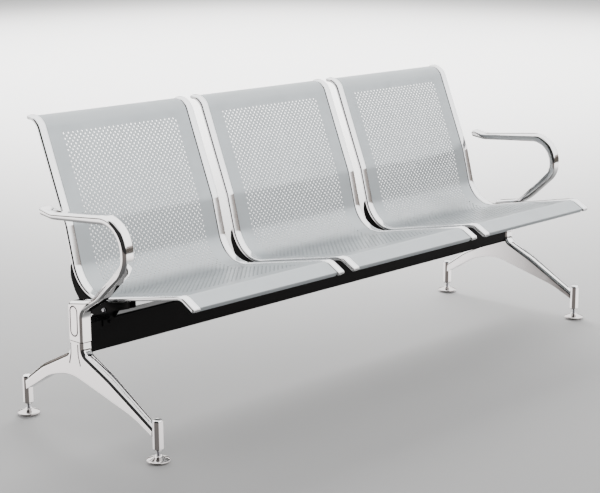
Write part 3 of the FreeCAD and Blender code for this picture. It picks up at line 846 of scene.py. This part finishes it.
for side_name, side in zip(side_names, (-1, 1)):
    node = "leg_casting_" + side_name
    low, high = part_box(node)
    outer_x = low[0] if side < 0 else high[0]
    middle = outer_x - side * armrest_width / 2
    bm = slab(in_part_frame(leg_line), outer_x, -side * armrest_width)
    rims = [e for e in side_edges(bm, outer_x, outer_x - side * armrest_width) if not on_joint(e)]
    low_rims = [e for e in rims if any(f.normal.z < -0.3 for f in e.link_faces)]
    top_rims = [e for e in rims if e not in low_rims]
    for vert in bm.verts:
        vert.co.x = middle + (vert.co.x - middle) * leg_width_at(vert.co.y - beam_middle) / armrest_width
    round_off(bm, top_rims, leg_top_round, 8)
    round_off(bm, [e for e in low_rims if e.is_valid], leg_low_round, 6)
    narrow = chamfer_joint(bm)
    leg = new_piece("forked_leg_" + side_name, bm, casting_chrome, "bench", [node])
    # The chamfer faces at the joint get painted shade.
    add_finish(leg, painted_shade_chrome, narrow)
    for line in channel_lines:
        raised = [(y, z + channel_radius - channel_sink, radius) for y, z, radius in line]
        carve(leg, groove_cutter(runs_of(in_part_frame(raised)), middle, channel_radius))
    for y in (-leg_front_reach, leg_rear_reach):
        profile = rounded_bar_profile(socket_radius, socket_low, socket_high, socket_round)
        carve(leg, turned(profile, middle, beam_middle + y), "UNION")
    groove_x = outer_x + side * (groove_radius - groove_sink)
    for sign in (-1, 1):
        line = [(groove_middle + sign * 0.0140, joint_height - 0.006, 0.0),
                (groove_middle + sign * 0.0145, 0.212, 0.030),
                (groove_middle + sign * 0.0215, 0.187, 0.0)]
        # The faces of the short grooves get painted shade.
        carve(leg, groove_cutter(runs_of(in_part_frame(line)), groove_x, groove_radius), finish=painted_shade_chrome)
    smooth_faces(leg, 40.0)


# Feet
# A chromed steel cone with a turned rim stands on the floor. A zinc-plated threaded stem turns in it
# and screws into the leg's socket, which sets the height.
foot_profile = [
    (0.0, 0.0), (0.0250, 0.0), (0.0262, 0.0006), (0.0284, 0.0042), (0.0290, 0.0058), (0.0287, 0.0074),
    (0.0272, 0.0086), (0.0240, 0.0098), (0.0190, 0.0117), (0.0145, 0.0136), (0.0115, 0.0152),
    (0.0096, 0.0166), (0.0088, 0.0175), (0.0052, 0.0175), (0.0052, 0.0080), (0.0, 0.0080),
]
foot_chrome = chromed("foot_chrome", (0.62, 0.59, 0.58), 0.08, 0.16)
stem_radius = 0.005
thread_pitch = 0.0015
thread_depth = 0.0008
zinc = coated("zinc_plate", (0.50, 0.50, 0.52), (0.45, 0.44, 0.42), (0.22, 0.38),
              metallic=0.95, skin_depth=0.12, dust=0.15)

for side_name in side_names:
    for place_name in ("front", "rear"):
        end = place_name + "_" + side_name
        low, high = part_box("foot_base_" + end)
        x, y = (low[0] + high[0]) / 2, (low[1] + high[1]) / 2
        base = new_piece("foot_cone_" + end, turned(foot_profile, x, y, 64), foot_chrome,
                         "foot_base_" + end, ["foot_base_" + end])
        smooth_faces(base, 40.0)
        low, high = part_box("foot_stem_" + end)
        turns = int((high[2] - low[2]) / thread_pitch)
        profile = [(0.0, low[2])]
        for k in range(turns):
            z = low[2] + k * thread_pitch
            profile += [(stem_radius - thread_depth, z + thread_pitch * 0.1),
                        (stem_radius, z + thread_pitch * 0.5),
                        (stem_radius - thread_depth, z + thread_pitch * 0.9)]
        profile.append((0.0, high[2]))
        stem = new_piece("threaded_stem_" + end, turned(profile, x, y, 24), zinc,
                         "foot_stem_" + end, ["foot_stem_" + end])
        smooth_faces(stem, 20.0)


# Seat brackets
# A channel of 3 mm steel under each rail, pressed and powder-coated black, carries the seat. Its web
# is welded along the rail's bend, and its two flanges go down on either side of the saddle's lug.
bracket_sheet = 0.003
bracket_bend = 0.0016
bracket_line = [
    (0.0985, 0.419, 0.0),
    beside(rail_face, rail_depth)[3],
    (-0.124, 0.3574, 0.0),
    (-0.124, 0.340, 0.004),
    (-0.060, 0.321, 0.022),
    (-0.0435, 0.300, 0.0),
    (0.050, 0.300, 0.0),
    (0.090, 0.352, 0.060),
    (0.1045, 0.385, 0.045),
    (0.1035, 0.412, 0.006),
]
pocket_up = 0.2
pocket_reach = 0.3
pocket_floor = 0.2


for seat_name in seat_names:
    for side_name, side in zip(side_names, (-1, 1)):
        node = "seat_arm_" + seat_name + "_seat_" + side_name
        low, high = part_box(node)
        width = high[0] - low[0]
        bm = slab(in_part_frame(bracket_line), low[0], width)
        round_off(bm, side_edges(bm, low[0], high[0]), bracket_bend, 3)
        bracket = new_piece("bracket_" + seat_name + "_seat_" + side_name, bm, black_coat, "bench",
                            [node])
        inner_line = beside(rail_face, rail_depth + bracket_sheet)
        back_run, seat_run = unit(inner_line[3], inner_line[2]), unit(inner_line[3], inner_line[4])
        far_up = Vector(inner_line[3][:2]) + back_run * pocket_up
        far_front = Vector(inner_line[3][:2]) + seat_run * pocket_reach
        pocket = [(*far_up, 0.0), inner_line[3], (*far_front, 0.0), (far_front.x, pocket_floor, 0.0),
                  (pocket_reach, pocket_floor, 0.0), (pocket_reach, far_up.y, 0.0)]
        carve(bracket, slab(in_part_frame(pocket), low[0] + bracket_sheet, width - 2 * bracket_sheet))
        smooth_faces(bracket)


# Saddles
# A black steel plate laps over the beam below each bracket, with a lug that fills the bracket's
# channel. Two zinc-plated bolts hold bracket and lug, and a black bolt goes through lips and beam.
saddle_plate = 0.004
saddle_lip = 0.020
saddle_bend = 0.008
saddle_bolt_drop = 0.010
saddle_bolt_head = 0.008
saddle_round = 0.001
lug_half_depth = 0.039
lug_clearance = 0.0033
lug_overlap = 0.001
bracket_bolt_height = 0.320
bracket_bolt_spread = 0.057
bracket_bolt_head = 0.0085
bolt_head_height = 0.0040
washer_radius = 0.0054
washer_height = 0.0010
head_round = 0.0005


def hex_bolt(bm, place, axis, flats, washer, finish):
    """A bolt head on its washer, standing on a face and pointing along the axis."""
    faces_before = set(bm.faces)
    turn = Vector((0, 0, 1)).rotation_difference(Vector(axis)).to_matrix().to_4x4()
    spot = Matrix.Translation(place) @ turn
    washer_spot = spot @ Matrix.Translation((0, 0, washer_height / 2))
    disc = bmesh.ops.create_cone(bm, cap_ends=True, segments=24, radius1=washer, radius2=washer,
                                 depth=washer_height, matrix=washer_spot)
    corner = flats / math.sqrt(3)
    head_spot = spot @ Matrix.Translation((0, 0, washer_height + bolt_head_height / 2))
    head = bmesh.ops.create_cone(bm, cap_ends=True, segments=6, radius1=corner, radius2=corner,
                                 depth=bolt_head_height, matrix=head_spot)
    edges = list({e for v in head["verts"] + disc["verts"] for e in v.link_edges})
    round_off(bm, edges, head_round, 2)
    for face in set(bm.faces) - faces_before:
        face.material_index = finish


for seat_name in seat_names:
    fasteners = bmesh.new()
    for side_name, side in zip(side_names, (-1, 1)):
        node = "saddle_" + seat_name + "_seat_" + side_name
        low, high = (Vector(corner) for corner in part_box(node))
        arm_low, arm_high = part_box("seat_arm_" + seat_name + "_seat_" + side_name)
        half = (beam_high.y - beam_low.y) / 2 + saddle_plate
        top = beam_top + saddle_plate
        bottom = beam_top - saddle_lip
        inner, inner_bend = half - saddle_plate, saddle_bend - saddle_plate
        outline = [(-half, bottom, 0.0), (-half, top, saddle_bend), (half, top, saddle_bend),
                   (half, bottom, 0.0), (inner, bottom, 0.0), (inner, beam_top, inner_bend),
                   (-inner, beam_top, inner_bend), (-inner, bottom, 0.0)]
        bm = slab(in_part_frame(outline), low.x, high.x - low.x)
        round_off(bm, side_edges(bm, low.x, high.x), saddle_round, 2)
        saddle = new_piece("saddle_plate_" + seat_name + "_seat_" + side_name, bm, black_coat, "bench",
                           [node])
        lug_low, lug_high = arm_low[0] + lug_clearance, arm_high[0] - lug_clearance
        lug_line = [(-lug_half_depth, top - lug_overlap, 0.0), (lug_half_depth, top - lug_overlap, 0.0),
                    (lug_half_depth, high.z, saddle_bend), (-lug_half_depth, high.z, saddle_bend)]
        carve(saddle, slab(in_part_frame(lug_line), lug_low, lug_high - lug_low), "UNION")
        smooth_faces(saddle)
        bolt_x = (low.x + high.x) / 2
        bolt_z = beam_top - saddle_bolt_drop
        for y in (-1, 1):
            hex_bolt(fasteners, (bolt_x, beam_middle + y * half, bolt_z), (0, y, 0), saddle_bolt_head,
                     saddle_bolt_head / 2, finish=1)
        outer = arm_low[0] if side < 0 else arm_high[0]
        for y in (-1, 1):
            hex_bolt(fasteners, (outer, beam_middle + y * bracket_bolt_spread / 2, bracket_bolt_height),
                     (side, 0, 0), bracket_bolt_head, washer_radius, finish=0)
    bolts = new_piece("seat_bolts_" + seat_name, fasteners, zinc, "bench")
    bolts.data.materials.append(black_coat)
    smooth_faces(bolts, 30.0)


# Frame bolts
# One long zinc-plated bolt in each end frame goes up from under the leg's arch into the armrest. Only
# its head can be seen, from below, so the frame's own solid is kept.
for side_name in side_names:
    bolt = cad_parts["frame_bolt_" + side_name]
    bolt.data.materials.clear()
    bolt.data.materials.append(zinc)
